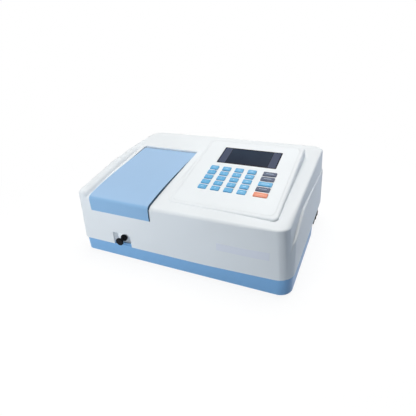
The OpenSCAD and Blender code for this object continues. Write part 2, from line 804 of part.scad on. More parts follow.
// Spool-shaped knob, bored for the end of the rod
module pull_knob() {
    waist = rod_d + 3;
    disc = knob_l * 0.24;
    color("#1d1e21") place() translate([rod_x, -knob_out, rod_z]) rotate([-90, 0, 0])
        difference() {
            rotate_extrude() polygon([[0, 0], [knob_d / 2 - 1.2, 0], [knob_d / 2, 1.2],
                [knob_d / 2, disc - 1], [knob_d / 2 - 1, disc], [waist / 2 + 0.6, disc + 0.8],
                [waist / 2, disc + 2], [waist / 2, knob_l - disc - 2],
                [waist / 2 + 0.6, knob_l - disc - 0.8], [knob_rear_d / 2 - 1, knob_l - disc],
                [knob_rear_d / 2, knob_l - disc + 1], [knob_rear_d / 2, knob_l - 1],
                [knob_rear_d / 2 - 1, knob_l], [0, knob_l]]);
            translate([0, 0, knob_depth]) cylinder(d = rod_d, h = knob_l);
        }
}

module rod_bush() {
    wall_y = notch_d;
    color("#9a9ea3") place() translate([rod_x, 0, rod_z]) rotate([-90, 0, 0]) difference() {
        union() {
            translate([0, 0, wall_y]) cylinder(d = rod_d + 6 - 2 * run_gap, h = cover_wall + 3);
            translate([0, 0, wall_y + cover_wall]) cylinder(d = rod_d + 10, h = 2);
        }
        cylinder(d = rod_d + 2 * run_gap, h = far);
    }
}

module console_panel() {
    color("#f6f7f8") on_console() difference() {
        union() {
            translate([panel_x, panel_v, -panel_t]) linear_extrude(panel_t)
                round_rect(panel_w, panel_l, console_r);
            for (x = board_screw_x, v = board_screw_v)
                translate([x, v, -panel_t - board_drop]) cylinder(d = 5, h = board_drop);
        }
        translate([window_x - part_gap, window_v - part_gap, -panel_t - 1]) linear_extrude(far)
            round_rect(window_w + 2 * part_gap, window_l + 2 * part_gap, 1.5 + part_gap);
        for (row = [0 : key_rows - 1]) {
            for (column = [0 : key_columns - 1])
                key_hole(key_x + column * key_pitch_x, -row * key_pitch_v, key_w);
            key_hole(side_key_x, -row * key_pitch_v, side_key_w);
        }
    }
}

module key_hole(x, v, w) {
    translate([x - w / 2 - part_gap, v - key_l / 2 - part_gap, -panel_t - 1]) linear_extrude(far)
        round_rect(w + 2 * part_gap, key_l + 2 * part_gap, key_r + part_gap);
}

module display_window() {
    color("#2d3240") on_console() translate([window_x, window_v, -window_t]) linear_extrude(window_t)
        round_rect(window_w, window_l, 1.5);
}

// Display behind the window, wider than the window so that it holds it from behind
module display_module() {
    margin = 4;
    color("#3f4b45") on_console() {
        translate([window_x - margin, window_v - margin, -panel_t - 3]) linear_extrude(3)
            round_rect(window_w + 2 * margin, window_l + 2 * margin - 2, 2);
        translate([window_x + (window_w - module_w) / 2, window_v + margin, -panel_t - module_t])
            linear_extrude(module_t - 3) round_rect(module_w, window_l - 2 * margin, 2);
    }
}

module keypad_board() {
    color("#2f6b45") on_console() translate([0, 0, -panel_t - board_drop - board_t])
        linear_extrude(board_t) difference() {
            translate([board_screw_x[0] - 5, board_screw_v[0] - 5])
                round_rect(board_screw_x[1] - board_screw_x[0] + 10,
                    board_screw_v[1] - board_screw_v[0] + 10, 3);
            for (x = board_screw_x, v = board_screw_v) translate([x, v]) circle(d = 3);
        }
}

// Key cap with a flange that the panel holds back and a stem towards the board
module key_cap(x, row, w) {
    flange = 1.1;
    on_console() translate([x, -row * key_pitch_v, 0]) {
        translate([-w / 2, -key_l / 2, -panel_t - slack]) linear_extrude(panel_t + slack + key_h - 0.6)
            round_rect(w, key_l, key_r);
        translate([0.6 - w / 2, 0.6 - key_l / 2, key_h - 0.6]) linear_extrude(0.6)
            round_rect(w - 1.2, key_l - 1.2, key_r - 0.5);
        translate([-w / 2 - flange, -key_l / 2 - flange, -panel_t - slack - 1]) linear_extrude(1)
            round_rect(w + 2 * flange, key_l + 2 * flange, key_r);
        translate([0, 0, -panel_t - board_drop + key_travel + slack])
            cylinder(d = 5, h = board_drop - key_travel - 2 * slack);
    }
}

module small_key(row, column) {
    color("#57a9dc") key_cap(key_x + column * key_pitch_x, row, key_w);
}

module side_key(row) {
    color(SIDE_COLOURS[row]) key_cap(side_key_x, row, side_key_w);
}

// Frame of the switch: across the tray's wall, x outwards, y along the rocker
module on_switch() {
    place() translate([half_w - bay_d, switch_mid, switch_z]) children();
}

module power_switch() {
    deep = 15;
    color("#222327") on_switch() difference() {
        union() {
            block([0, -bezel_l / 2, -switch_w / 2 - 1.5], [bezel_t, bezel_l / 2, switch_w / 2 + 1.5]);
            block([-deep, -switch_l / 2 + slack, -switch_w / 2 + slack],
                [0, switch_l / 2 - slack, switch_w / 2 - slack]);
        }
        block([2 - deep, -rocker_l / 2 - 1.8, -rocker_w / 2 - slack],
            [bezel_t + 1, rocker_l / 2 + 1.8, rocker_w / 2 + slack]);
        translate([rocker_axis, 0, -rocker_w / 2 - 1.6])
            cylinder(d = rocker_pin_d + 2 * run_gap, h = rocker_w + 3.2);
    }
}

// The rocker's ends stand out far enough not to dip below the bezel when it swings
module power_rocker() {
    end = rocker_l / 2;
    rise = end * sin(rocker_swing) + 0.8;
    color("#17181a") on_switch() {
        translate([0, 0, -rocker_w / 2]) linear_extrude(rocker_w)
            polygon([[bezel_t - 9, -3], [bezel_t - 3, -end + 0.5], [bezel_t + rise, -end],
                [bezel_t + rise * 0.35, 0], [bezel_t + rise, end], [bezel_t - 3, end - 0.5],
                [bezel_t - 9, 3]]);
        translate([rocker_axis, 0, -rocker_w / 2 - 1.3]) cylinder(d = rocker_pin_d, h = rocker_w + 2.6);
    }
}

module rear_panel() {
    grille_bar = 5;
    slit = 5;
    color("#c9cdd1") place() difference() {
        block([rear_x0, panel_y, tray_floor + slack], [rear_x1, panel_y + rear_panel_t, rear_top]);
        for (i = [-5 : 5]) {
            reach = sqrt(pow(fan_size / 2 - 4, 2) - pow(i * (slit + 1.8), 2));
            block([fan_x - reach, panel_y - 1, fan_z + i * (slit + 1.8) - slit / 2],
                [fan_x - grille_bar / 2, panel_y + rear_panel_t + 1, fan_z + i * (slit + 1.8) + slit / 2]);
            block([fan_x + grille_bar / 2, panel_y - 1, fan_z + i * (slit + 1.8) - slit / 2],
                [fan_x + reach, panel_y + rear_panel_t + 1, fan_z + i * (slit + 1.8) + slit / 2]);
        }
        block([inlet_x - inlet_w / 2, panel_y - 1, inlet_z - inlet_h / 2],
            [inlet_x + inlet_w / 2, panel_y + rear_panel_t + 1, inlet_z + inlet_h / 2]);
    }
}

// Three-pin mains socket with its flange outside the rear panel
module mains_inlet() {
    flange = 3;
    deep = 20;
    back = panel_y + rear_panel_t;
    color("#1b1c1e") place() translate([inlet_x, back, inlet_z]) {
        difference() {
            union() {
                block([-25, 0, -14], [25, flange, 14]);
                block([-inlet_w / 2 + slack, -deep, -inlet_h / 2 + slack],
                    [inlet_w / 2 - slack, 0, inlet_h / 2 - slack]);
            }
            block([-12.2, 3 - deep, -8.2], [12.2, flange + 1, 8.2]);
            for (x = [-20, 20]) translate([x, -1, 0]) rotate([-90, 0, 0]) cylinder(d = 3.5, h = flange + 2);
        }
        for (p = [[-7, -2], [0, 2], [7, -2]])
            block([p[0] - 1, 2 - deep, p[1] - 2], [p[0] + 1, -3, p[1] + 2]);
    }
}

module fan_frame() {
    bore = fan_size - 4;
    strut = 6;
    color("#26272a") place() translate([fan_x, panel_y, fan_z]) rotate([90, 0, 0]) difference() {
        union() {
            difference() {
                translate([-fan_size / 2, -fan_size / 2, 0]) linear_extrude(fan_t)
                    round_rect(fan_size, fan_size, 5);
                translate([0, 0, -1]) cylinder(d = bore, h = fan_t + 2);
            }
            translate([0, 0, fan_t - 4]) cylinder(d = 26, h = 4);
            for (a = [45 : 90 : 315]) rotate(a)
                translate([10, -strut / 2, fan_t - 4]) cube([bore / 2 - 8, strut, 4]);
        }
        translate([0, 0, fan_t - 5]) cylinder(d = shaft_d + 2 * run_gap, h = 10);
    }
}

module fan_rotor() {
    hub = 28;
    length = fan_t - 4 - 4;
    color("#303236") place() translate([fan_x, panel_y, fan_z]) rotate([90, 0, 0]) {
        translate([0, 0, 3]) cylinder(d = hub, h = length);
        translate([0, 0, 3 + length - 1]) cylinder(d = shaft_d, h = fan_t - length - 3);
        for (i = [0 : fan_blades - 1]) rotate(i * 360 / fan_blades)
            translate([hub / 2 - 1, 0, 3 + length / 2]) rotate([35, 0, 0])
                translate([0, -9, -1]) cube([fan_size / 2 - hub / 2 - 4.5, 18, 2]);
    }
}

// Plate on the tray's four posts, which carries all the optics
module optical_bench() {
    color("#aeb3b8") place() difference() {
        block([bench_x0, bench_y0, bench_z - bench_t], [bench_x1, bench_y1, bench_z]);
        for (x = bench_screw_x, y = bench_screw_y)
            translate([x, y, bench_z - bench_t - 1]) cylinder(d = 4.5, h = bench_t + 2);
    }
}

module monochromator_box() {
    wall = 4;
    color("#6d7278") place() difference() {
        block([mono_x0, mono_y0, bench_z], [mono_x1, mono_y1, mono_top]);
        block([mono_x0 + wall, mono_y0 + wall, bench_z + wall],
            [mono_x1 - wall, mono_y1 - wall, mono_top - wall]);
        translate([mono_x0 - 1, beam_y, beam_z]) rotate([0, 90, 0]) cylinder(d = 8, h = wall + 2);
        translate([mono_x1 - wall - 1, mirror_y, beam_z]) rotate([0, 90, 0])
            cylinder(d = 8, h = wall + 2);
    }
}

module grating_motor() {
    color("#3a3c40") place() translate([grating_x, grating_y, bench_z + 4]) difference() {
        translate([-21, -21, 0]) linear_extrude(motor_h) round_rect(42, 42, 4);
        translate([0, 0, motor_h - 14]) cylinder(d = shaft_d + 2 * run_gap, h = 20);
    }
}

module grating_turntable() {
    color("#b7a777") place() translate([grating_x, grating_y, bench_z + 4 + motor_h]) {
        translate([0, 0, -12]) cylinder(d = shaft_d, h = 14);
        translate([0, 0, slack]) cylinder(d = turntable_d, h = 6);
        translate([-16, -4, slack + 6]) cube([32, 8, 30]);
    }
}

module lamp_housing() {
    wall = 3;
    color("#8d9298") place() difference() {
        union() {
            difference() {
                block([lamp_x0, lamp_y0, bench_z], [lamp_x1, lamp_y1, lamp_top]);
                block([lamp_x0 + wall, lamp_y0 + wall, bench_z + wall],
                    [lamp_x1 - wall, lamp_y1 - wall, lamp_top + 1]);
            }
            translate([mirror_x, mirror_y, bench_z]) cylinder(d = 16, h = 14);
        }
        translate([lamp_x0 - 1, mirror_y, beam_z]) rotate([0, 90, 0]) cylinder(d = 14, h = wall + 2);
        for (x = [lamp_x0 + 12 : 10 : lamp_x1 - 12])
            block([x, lamp_y1 - wall - 1, bench_z + 20], [x + 5, lamp_y1 + 1, lamp_top - 12]);
        translate([mirror_x, mirror_y, bench_z + 2]) cylinder(d = shaft_d + 2 * run_gap, h = 20);
    }
}

module tungsten_lamp() {
    color("#e9e4d4") place() translate([lamp_x1 - 18, mirror_y, bench_z + 3]) {
        cylinder(d = 18, h = beam_h - 22);
        translate([0, 0, beam_h - 22]) cylinder(d = 10, h = 18);
        translate([0, 0, beam_h - 4]) sphere(d = 10);
    }
}

module deuterium_lamp() {
    color("#dcd8cf") place() translate([mirror_x, deuterium_y, bench_z + 3]) {
        cylinder(d = 32, h = 16);
        translate([0, 0, 16]) cylinder(d = 26, h = beam_h - 16);
        translate([0, 0, beam_h]) sphere(d = 26);
    }
}

// Mirror that sends the deuterium light to the slit, or turns edge-on for the tungsten light
module source_mirror() {
    color("#c9ced4") place() translate([mirror_x, mirror_y, bench_z]) {
        translate([0, 0, 4]) cylinder(d = shaft_d, h = 12);
        translate([0, 0, 14 + slack]) cylinder(d = 18, h = 4);
        rotate(45) translate([-12, -1.5, 18]) cube([24, 3, beam_h]);
    }
}

module detector_box() {
    color("#4a4d52") place() difference() {
        block([detector_x, beam_y - 24, beam_z - 24], [chamber_x0, beam_y + 24, beam_z + 24]);
        translate([detector_x + 10, beam_y, beam_z]) rotate([0, 90, 0]) cylinder(d = 10, h = far);
    }
}

module main_board() {
    stand = 6;
    color("#2f6b45") place() {
        for (x = [lamp_x0 + 5, bench_x1 - 8], y = [bench_y0 + 12, bench_y0 + board_l - 2])
            translate([x, y, bench_z]) cylinder(d = 6, h = stand);
        block([lamp_x0, bench_y0 + 6, bench_z + stand],
            [bench_x1 - 2, bench_y0 + 6 + board_l, bench_z + stand + 1.6]);
        for (p = [[14, 20, 22], [50, 24, 14], [24, 60, 12], [60, 62, 16]])
            block([lamp_x0 + p[0], bench_y0 + p[1], bench_z + stand + 1.6],
                [lamp_x0 + p[0] + p[2], bench_y0 + p[1] + p[2], bench_z + stand + 5]);
    }
}

module power_supply() {
    color("#b9bdc2") place() difference() {
        block([lamp_x0, lamp_y0 - 6 - supply_l, bench_z], [bench_x1 - 2, lamp_y0 - 6, bench_z + 44]);
        for (x = [lamp_x0 + 10 : 8 : bench_x1 - 14])
            block([x, lamp_y0 + 4 - supply_l, bench_z + 41], [x + 4, lamp_y0 - 16, bench_z + 45]);
    }
}

base_tray();
rubber_feet();
top_cover();
bench_screws();
sample_lid();
lid_hinge_brackets();
lid_hinge_pins();
chamber_seal();
sample_chamber();
guide_rails();
cell_carriage();
pull_rod();
pull_knob();
rod_bush();
console_panel();
display_window();
display_module();
keypad_board();
power_switch();
power_rocker();
rear_panel();
mains_inlet();
fan_frame();
fan_rotor();
optical_bench();
monochromator_box();
grating_turntable();
grating_motor();
lamp_housing();
tungsten_lamp();
deuterium_lamp();
source_mirror();
detector_box();
main_board();
power_supply();
for (i = [0 : len(SMALL_KEYS) - 1])
    small_key(floor(i / key_columns), i % key_columns);
for (i = [0 : len(SIDE_KEYS) - 1])
    side_key(i);
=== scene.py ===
import json
from math import radians

import bmesh
import bpy
from mathutils import Matrix, Quaternion, Vector
from mathutils.bvhtree import BVHTree

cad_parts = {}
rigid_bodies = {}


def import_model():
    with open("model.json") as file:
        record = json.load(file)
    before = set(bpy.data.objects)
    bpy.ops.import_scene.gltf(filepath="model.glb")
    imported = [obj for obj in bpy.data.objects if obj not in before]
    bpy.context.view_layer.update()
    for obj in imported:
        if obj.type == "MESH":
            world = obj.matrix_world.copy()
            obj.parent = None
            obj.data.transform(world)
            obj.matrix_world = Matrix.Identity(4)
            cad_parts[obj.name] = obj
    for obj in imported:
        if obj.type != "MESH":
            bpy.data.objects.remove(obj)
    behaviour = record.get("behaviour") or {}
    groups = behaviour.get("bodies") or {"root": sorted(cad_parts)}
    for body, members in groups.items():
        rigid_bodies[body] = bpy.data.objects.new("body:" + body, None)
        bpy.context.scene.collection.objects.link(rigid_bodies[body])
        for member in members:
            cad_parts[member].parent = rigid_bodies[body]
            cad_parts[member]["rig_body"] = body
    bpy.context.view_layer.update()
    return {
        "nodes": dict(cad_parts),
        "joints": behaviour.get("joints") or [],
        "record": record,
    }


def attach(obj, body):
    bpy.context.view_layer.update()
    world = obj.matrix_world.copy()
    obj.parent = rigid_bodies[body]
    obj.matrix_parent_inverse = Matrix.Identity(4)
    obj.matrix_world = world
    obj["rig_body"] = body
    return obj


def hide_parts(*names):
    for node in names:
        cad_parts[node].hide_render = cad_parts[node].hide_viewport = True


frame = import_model()
nodes = frame["nodes"]
print("frame loaded:", len(nodes), "pieces")


# shader wiring

class Wire:
    def __init__(self, tree, socket=None):
        self.tree = tree
        self.socket = socket

    # any node: its type, its settings, the values or links of its sockets
    def node(self, kind, settings=None, inputs=None, output=0):
        made = self.tree.nodes.new(kind)
        for name, value in (settings or {}).items():
            setattr(made, name, value)
        for name, value in (inputs or {}).items():
            if isinstance(value, Wire):
                self.tree.links.new(value.socket, made.inputs[name])
            else:
                made.inputs[name].default_value = value
        return Wire(self.tree, made.outputs[output]) if len(made.outputs) else made

    def maths(self, operation, first, second):
        return self.node("ShaderNodeMath", {"operation": operation}, {0: first, 1: second})

    def __add__(self, other):
        return self.maths("ADD", self, other)

    def __radd__(self, other):
        return self.maths("ADD", other, self)

    def __sub__(self, other):
        return self.maths("SUBTRACT", self, other)

    def __rsub__(self, other):
        return self.maths("SUBTRACT", other, self)

    def __mul__(self, other):
        return self.maths("MULTIPLY", self, other)

    def __rmul__(self, other):
        return self.maths("MULTIPLY", other, self)

    def __gt__(self, other):
        return self.maths("GREATER_THAN", self, other)

    def __lt__(self, other):
        return self.maths("LESS_THAN", self, other)


def vectorMaths(start, operation, first, second, output=0):
    return start.node("ShaderNodeVectorMath", {"operation": operation}, {0: first, 1: second}, output)


def dotProduct(start, first, second):
    return vectorMaths(start, "DOT_PRODUCT", first, second, "Value")


def noise(start, place, size, detail=2.0):
    return start.node("ShaderNodeTexNoise", {}, {
        "Vector": place, "Scale": 1.0 / size, "Detail": detail})


def swing(share, amount):       # a share from 0 to 1 as a swing about nothing
    return (share - 0.5) * amount


def rgba(colour, gain=1.0):
    return tuple(min(c * gain, 1.0) for c in colour) + (1.0,)


def mixColour(start, share, low, high):
    return start.node("ShaderNodeMix", {"data_type": "RGBA"}, {0: share, 6: low, 7: high}, 2)


def mottled(start, share, colour, gains):
    return mixColour(start, share, rgba(colour, gains[0]), rgba(colour, gains[1]))


def relief(start, strength, depth, height):
    return start.node("ShaderNodeBump", {}, {
        "Strength": strength, "Distance": depth, "Height": height})


def newFinish(name):
    finish = bpy.data.materials.new(name)
    finish.use_nodes = True
    finish.node_tree.nodes.clear()
    start = Wire(finish.node_tree)
    return finish, start, start.node("ShaderNodeTexCoord", output="Object")


def closeFinish(start, sockets):
    shader = start.node("ShaderNodeBsdfPrincipled", {}, sockets)
    start.node("ShaderNodeOutputMaterial", {}, {"Surface": shader})


turnSpec = {"from": 0.45, "to": 0.75}


# how far a face turns to one side: 0 when square to it, 1 when it looks that way
def turnedTo(start, side):
    facing = start.node("ShaderNodeTexCoord", output="Normal")
    return start.node("ShaderNodeMapRange", {}, {
        "Value": dotProduct(start, facing, side),
        "From Min": turnSpec["from"], "From Max": turnSpec["to"]})


def insideBox(start, place, low, high):
    above = vectorMaths(start, "SUBTRACT", place, low)
    below = vectorMaths(start, "SUBTRACT", high, place)
    nearest = vectorMaths(start, "MINIMUM", above, below)
    x, y, z = (dotProduct(start, nearest, axis) > 0.0
               for axis in ((1, 0, 0), (0, 1, 0), (0, 0, 1)))
    return x * y * z


# finishes: gains lighten and darken a colour, shines make the roughness swing

finishes = {}


def makeFinishes(maker, looks):
    for key, look in looks.items():
        finishes[key] = maker(look)


plasticSpec = {"cloud": 0.09, "grainDetail": 3.0, "gains": (0.965, 1.03), "grainShine": 0.10,
               "cloudShine": 0.08, "depth": 0.12, "gloss": 0.45}
plasticLooks = {
    "cover": {"name": "coverPlastic", "colour": (0.785, 0.815, 0.835), "grain": 0.0007,
              "rough": 0.44, "bump": 0.10, "gloss": 0.28,
              # painted light: the knob's notch glows, standing in for the light its walls throw on each
              # other
              "pocket": ((-0.150, -0.1625, 0.02), (-0.101, -0.150, 0.0685)),
              "bounce": (0.14, 0.15, 0.16)},
    "panel": {"name": "panelFilm", "colour": (0.795, 0.825, 0.845), "grain": 0.0004,
              "rough": 0.40, "bump": 0.06, "gloss": 0.35},
    # the lid's skirt and right flank colours are darker copies of its own colour: painted shade
    "lid": {"name": "lidPlastic", "colour": (0.338, 0.51, 0.73), "skirt": (0.275, 0.475, 0.715),
            "paintedFlankShade": (0.06, 0.12, 0.19), "grain": 0.0006, "rough": 0.44, "bump": 0.09, "gloss": 0.3},
    "keyBlue": {"name": "keyBlue", "colour": (0.097, 0.38, 0.65), "grain": 0.0003,
                "rough": 0.38, "bump": 0.08},
    "keyDark": {"name": "keyDark", "colour": (0.048, 0.068, 0.125), "grain": 0.0003,
                "rough": 0.42, "bump": 0.08},
    "keyOrange": {"name": "keyOrange", "colour": (0.75, 0.25, 0.145), "grain": 0.0003,
                  "rough": 0.38, "bump": 0.08},
    "knob": {"name": "knobBlack", "colour": (0.006, 0.007, 0.009), "grain": 0.0004,
             "rough": 0.36, "bump": 0.05, "gloss": 0.08},
    "switch": {"name": "switchBlack", "colour": (0.013, 0.013, 0.015), "grain": 0.0005,
               "rough": 0.42, "bump": 0.12, "gloss": 0.1},
    "chamber": {"name": "chamberBlack", "colour": (0.018, 0.019, 0.022), "grain": 0.0006,
                "rough": 0.62, "bump": 0.2},
    "grey": {"name": "greyPlastic", "colour": (0.27, 0.28, 0.30), "grain": 0.0005,
             "rough": 0.5, "bump": 0.12},
    "display": {"name": "displayBody", "colour": (0.05, 0.065, 0.06), "grain": 0.0005,
                "rough": 0.4, "bump": 0.1},
    "plate": {"name": "plateLilac", "colour": (0.745, 0.775, 0.845), "grain": 0.0004,
              "rough": 0.34, "bump": 0.05},
    "legend": {"name": "legendPrint", "colour": (0.42, 0.68, 0.86), "grain": 0.0003,
               "rough": 0.45, "bump": 0.03},
    "paleLegend": {"name": "paleLegendPrint", "colour": (0.34, 0.43, 0.56), "grain": 0.0003,
                   "rough": 0.45, "bump": 0.03},
    "warmLegend": {"name": "warmLegendPrint", "colour": (0.86, 0.46, 0.33), "grain": 0.0003,
                   "rough": 0.45, "bump": 0.03}}


def mouldedPlastic(look):
    spec = plasticSpec
    finish, start, place = newFinish(look["name"])
    grain = noise(start, place, look["grain"], spec["grainDetail"])
    cloud = noise(start, place, spec["cloud"])
    tone = mottled(start, cloud, look["colour"], spec["gains"])
    # painted shade: faces turned to the front take the darker skirt tone, faces turned right a much
    # darker tone for the shadow in the gap
    if "skirt" in look:
        tone = mixColour(start, turnedTo(start, (0, -1, 0)), tone, rgba(look["skirt"]))
        tone = mixColour(start, turnedTo(start, (1, 0, 0)), tone, rgba(look["paintedFlankShade"]))
    rough = look["rough"] + swing(grain, spec["grainShine"]) + swing(cloud, spec["cloudShine"])
    sockets = {
        "Base Color": tone, "Roughness": rough,
        "Normal": relief(start, look["bump"], look["grain"] * spec["depth"], grain),
        "Specular IOR Level": look.get("gloss", spec["gloss"])}
    # painted light: inside the notch box the cover glows with the bounce colour, though no lamp is there
    if "pocket" in look:
        share = insideBox(start, place, *look["pocket"])
        sockets["Emission Color"] = mixColour(start, share, (0, 0, 0, 1), rgba(look["bounce"]))
        sockets["Emission Strength"] = 1.0
    closeFinish(start, sockets)
    return finish


enamelSpec = {"cloud": 0.12, "gains": (0.97, 1.03), "peelDetail": 1.0, "speck": 0.2,
              "speckShine": 0.12, "speckHeight": 0.25, "depth": 0.0002, "gloss": 0.4}
enamelLooks = {
    "base": {"name": "baseEnamel", "colour": (0.215, 0.445, 0.74), "peel": 0.0022,
             "rough": 0.38, "bump": 0.10},
    "boxGrey": {"name": "boxEnamel", "colour": (0.16, 0.17, 0.19), "peel": 0.002,
                "rough": 0.45, "bump": 0.12},
    "motor": {"name": "motorEnamel", "colour": (0.035, 0.037, 0.041), "peel": 0.0015,
              "rough": 0.4, "bump": 0.1}}


def enamel(look):
    spec = enamelSpec
    finish, start, place = newFinish(look["name"])
    peel = noise(start, place, look["peel"], spec["peelDetail"])     # faint orange peel of sprayed paint
    speck = noise(start, place, look["peel"] * spec["speck"])
    cloud = noise(start, place, spec["cloud"])
    closeFinish(start, {
        "Base Color": mottled(start, cloud, look["colour"], spec["gains"]),
        "Roughness": look["rough"] + swing(speck, spec["speckShine"]),
        "Normal": relief(start, look["bump"], spec["depth"], peel + speck * spec["speckHeight"]),
        "Specular IOR Level": spec["gloss"]})
    return finish


metalSpec = {"line": 0.0006, "lineDetail": 3.0, "cloud": 0.03, "gains": (0.86, 1.08),
             "lineShine": 0.16, "cloudShine": 0.1, "bump": 0.06, "depth": 0.00005}
# streak: the lines of the tool run along the axis with the small number
metalLooks = {
    "steel": {"name": "groundSteel", "colour": (0.62, 0.63, 0.64), "streak": (1, 0.05, 1), "rough": 0.24},
    "aluminium": {"name": "plainAluminium", "colour": (0.66, 0.67, 0.69), "streak": (0.06, 1, 1),
                  "rough": 0.36},
    "anodised": {"name": "anodisedBlack", "colour": (0.045, 0.045, 0.05), "streak": (1, 0.1, 1),
                 "rough": 0.45, "metallic": 0.4},
    "brass": {"name": "turnedBrass", "colour": (0.65, 0.5, 0.24), "streak": (1, 1, 0.1), "rough": 0.3},
    "mirror": {"name": "mirrorFace", "colour": (0.9, 0.91, 0.93), "streak": (1, 1, 1), "rough": 0.09}}


def metal(look):
    spec = metalSpec
    finish, start, place = newFinish(look["name"])
    drawn = vectorMaths(start, "MULTIPLY", place, look["streak"])
    lines = noise(start, drawn, spec["line"], spec["lineDetail"])
    cloud = noise(start, place, spec["cloud"])
    closeFinish(start, {
        "Base Color": mottled(start, lines, look["colour"], spec["gains"]),
        "Roughness": look["rough"] + swing(lines, spec["lineShine"]) + swing(cloud, spec["cloudShine"]),
        "Normal": relief(start, spec["bump"], spec["depth"], lines),
        "Metallic": look.get("metallic", 1.0)})
    return finish


foamSpec = {"cloud": 0.01, "gains": (0.8, 1.3), "rough": 0.78, "cellShine": 0.2, "bump": 0.3,
            "depth": 0.3, "gloss": 0.3}
foamLooks = {
    "foam": {"name": "foamBlack", "colour": (0.014, 0.014, 0.016), "cell": 0.0012},
    "rubber": {"name": "footRubber", "colour": (0.02, 0.02, 0.021), "cell": 0.0005}}


def rubberFoam(look):
    spec = foamSpec
    finish, start, place = newFinish(look["name"])
    cells = start.node("ShaderNodeTexVoronoi", {}, {"Vector": place, "Scale": 1.0 / look["cell"]})
    cloud = noise(start, place, spec["cloud"])
    closeFinish(start, {
        "Base Color": mottled(start, cloud, look["colour"], spec["gains"]),
        "Roughness": spec["rough"] + cells * spec["cellShine"],
        "Normal": relief(start, spec["bump"], look["cell"] * spec["depth"], cells),
        "Specular IOR Level": spec["gloss"]})
    return finish


boardSpec = {"scale": 90.0, "trackWidth": 0.06, "rough": 0.35, "trackShine": 0.15, "bump": 0.2,
             "depth": 0.0001}
boardLooks = {
    "board": {"name": "boardGreen", "colour": (0.02, 0.12, 0.05), "track": (0.06, 0.25, 0.10)}}


def circuitBoard(look):
    spec = boardSpec
    finish, start, place = newFinish(look["name"])
    tracks = start.node("ShaderNodeTexBrick", {}, {
        "Vector": place, "Scale": spec["scale"], "Mortar Size": spec["trackWidth"]}, "Fac")
    closeFinish(start, {
        "Base Color": mixColour(start, tracks, rgba(look["colour"]), rgba(look["track"])),
        "Roughness": spec["rough"] + tracks * spec["trackShine"],
        "Normal": relief(start, spec["bump"], spec["depth"], tracks)})
    return finish


glassSpec = {"haze": 0.012, "gains": (0.92, 1.0), "rough": 0.04, "hazeShine": 0.06, "ior": 1.46}
glassLooks = {"glass": {"name": "lampGlass", "colour": (0.95, 0.95, 0.93), "clear": 0.9}}


def clearGlass(look):
    spec = glassSpec
    finish, start, place = newFinish(look["name"])
    haze = noise(start, place, spec["haze"])
    closeFinish(start, {
        "Base Color": mottled(start, haze, look["colour"], spec["gains"]),
        "Roughness": spec["rough"] + haze * spec["hazeShine"],
        "Transmission Weight": look["clear"], "IOR": spec["ior"]})
    return finish


makeFinishes(mouldedPlastic, plasticLooks)
makeFinishes(enamel, enamelLooks)
makeFinishes(metal, metalLooks)
makeFinishes(rubberFoam, foamLooks)
makeFinishes(circuitBoard, boardLooks)
makeFinishes(clearGlass, glassLooks)


# console frame, from the first key's joint: out of the face, across it, up the slope
keyJoints = {j["child"]: j for j in frame["joints"] if j["child"].startswith("press_")}
firstKey = keyJoints["press_key_r1_c1"]
faceOut = -Vector(firstKey["axis"]).normalized()
faceAcross = Vector((1, 0, 0))
faceUp = faceOut.cross(faceAcross)
faceOrigin = Vector(firstKey["pos_m"])


def alongFace(node):
    points = [v.co - faceOrigin for v in nodes[node].data.vertices]
    return {name: (min(p.dot(axis) for p in points), max(p.dot(axis) for p in points))
            for name, axis in (("across", faceAcross), ("up", faceUp), ("out", faceOut))}


consoleLevel = alongFace("console_panel")["out"][1]


# display: dark glass with lighter strips beside the screen
displaySpec = {
    # glow is the screen's lighter tone, used as a painted sheen
    "screen": (0.007, 0.013, 0.029), "glow": (0.016, 0.031, 0.058),
    "strip": (0.062, 0.076, 0.125), "border": (0.012, 0.013, 0.022),
    "edge": 0.0022,          # border round the whole window
    "stripWidth": 0.0182,    # strips left and right of the screen
    "screenEdge": 0.0014, "screenFoot": 0.00484, "screenHead": 0.00352,    # border round the screen
    "cloud": 0.02, "grain": 0.0006, "stripGains": (0.8, 1.2),
    "rise": 0.7, "patch": 0.3,      # painted sheen: the screen lightens up its height; it also lightens in random patches
    "rough": 0.2, "cloudShine": 0.06, "gloss": 0.075}


def displayGlass():
    spec, reach = displaySpec, alongFace("display_window")
    finish, start, place = newFinish("displayGlass")
    offset = vectorMaths(start, "SUBTRACT", place, faceOrigin)
    across, up = (dotProduct(start, offset, axis) for axis in (faceAcross, faceUp))
    (left, right), (low, high) = reach["across"], reach["up"]
    edge, strip = spec["edge"], spec["stripWidth"]
    screenSide = strip + spec["screenEdge"]
    inside = ((across > left + edge) * (across < right - edge)
              * (up > low + edge) * (up < high - edge))
    middle = (across > left + strip) * (across < right - strip)
    screen = ((across > left + screenSide) * (across < right - screenSide)
              * (up > low + spec["screenFoot"]) * (up < high - spec["screenHead"]))
    # painted sheen: the screen's colour lightens from its foot to its head
    sheen = (up - low) * (1.0 / (high - low))
    cloud = noise(start, place, spec["cloud"])
    grain = noise(start, place, spec["grain"])
    glow = mixColour(start, sheen * spec["rise"] + cloud * spec["patch"],
                     rgba(spec["screen"]), rgba(spec["glow"]))
    strips = mottled(start, grain, spec["strip"], spec["stripGains"])
    tone = mixColour(start, inside, rgba(spec["border"]), strips)
    tone = mixColour(start, middle * inside, tone, rgba(spec["border"]))
    tone = mixColour(start, screen, tone, glow)
    closeFinish(start, {
        "Base Color": tone, "Roughness": spec["rough"] + cloud * spec["cloudShine"],
        "Specular IOR Level": spec["gloss"]})
    return finish


finishes["window"] = displayGlass()
print("finishes made:", len(finishes))


# making pieces

def bodyOf(node):
    return nodes[node]["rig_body"]


def slotOf(node):
    return next(p["material_slot"] for p in frame["record"]["subparts"] if p["node"] == node)


def addObject(name, data):
    made = bpy.data.objects.new(name, data)
    bpy.context.scene.collection.objects.link(made)
    return made


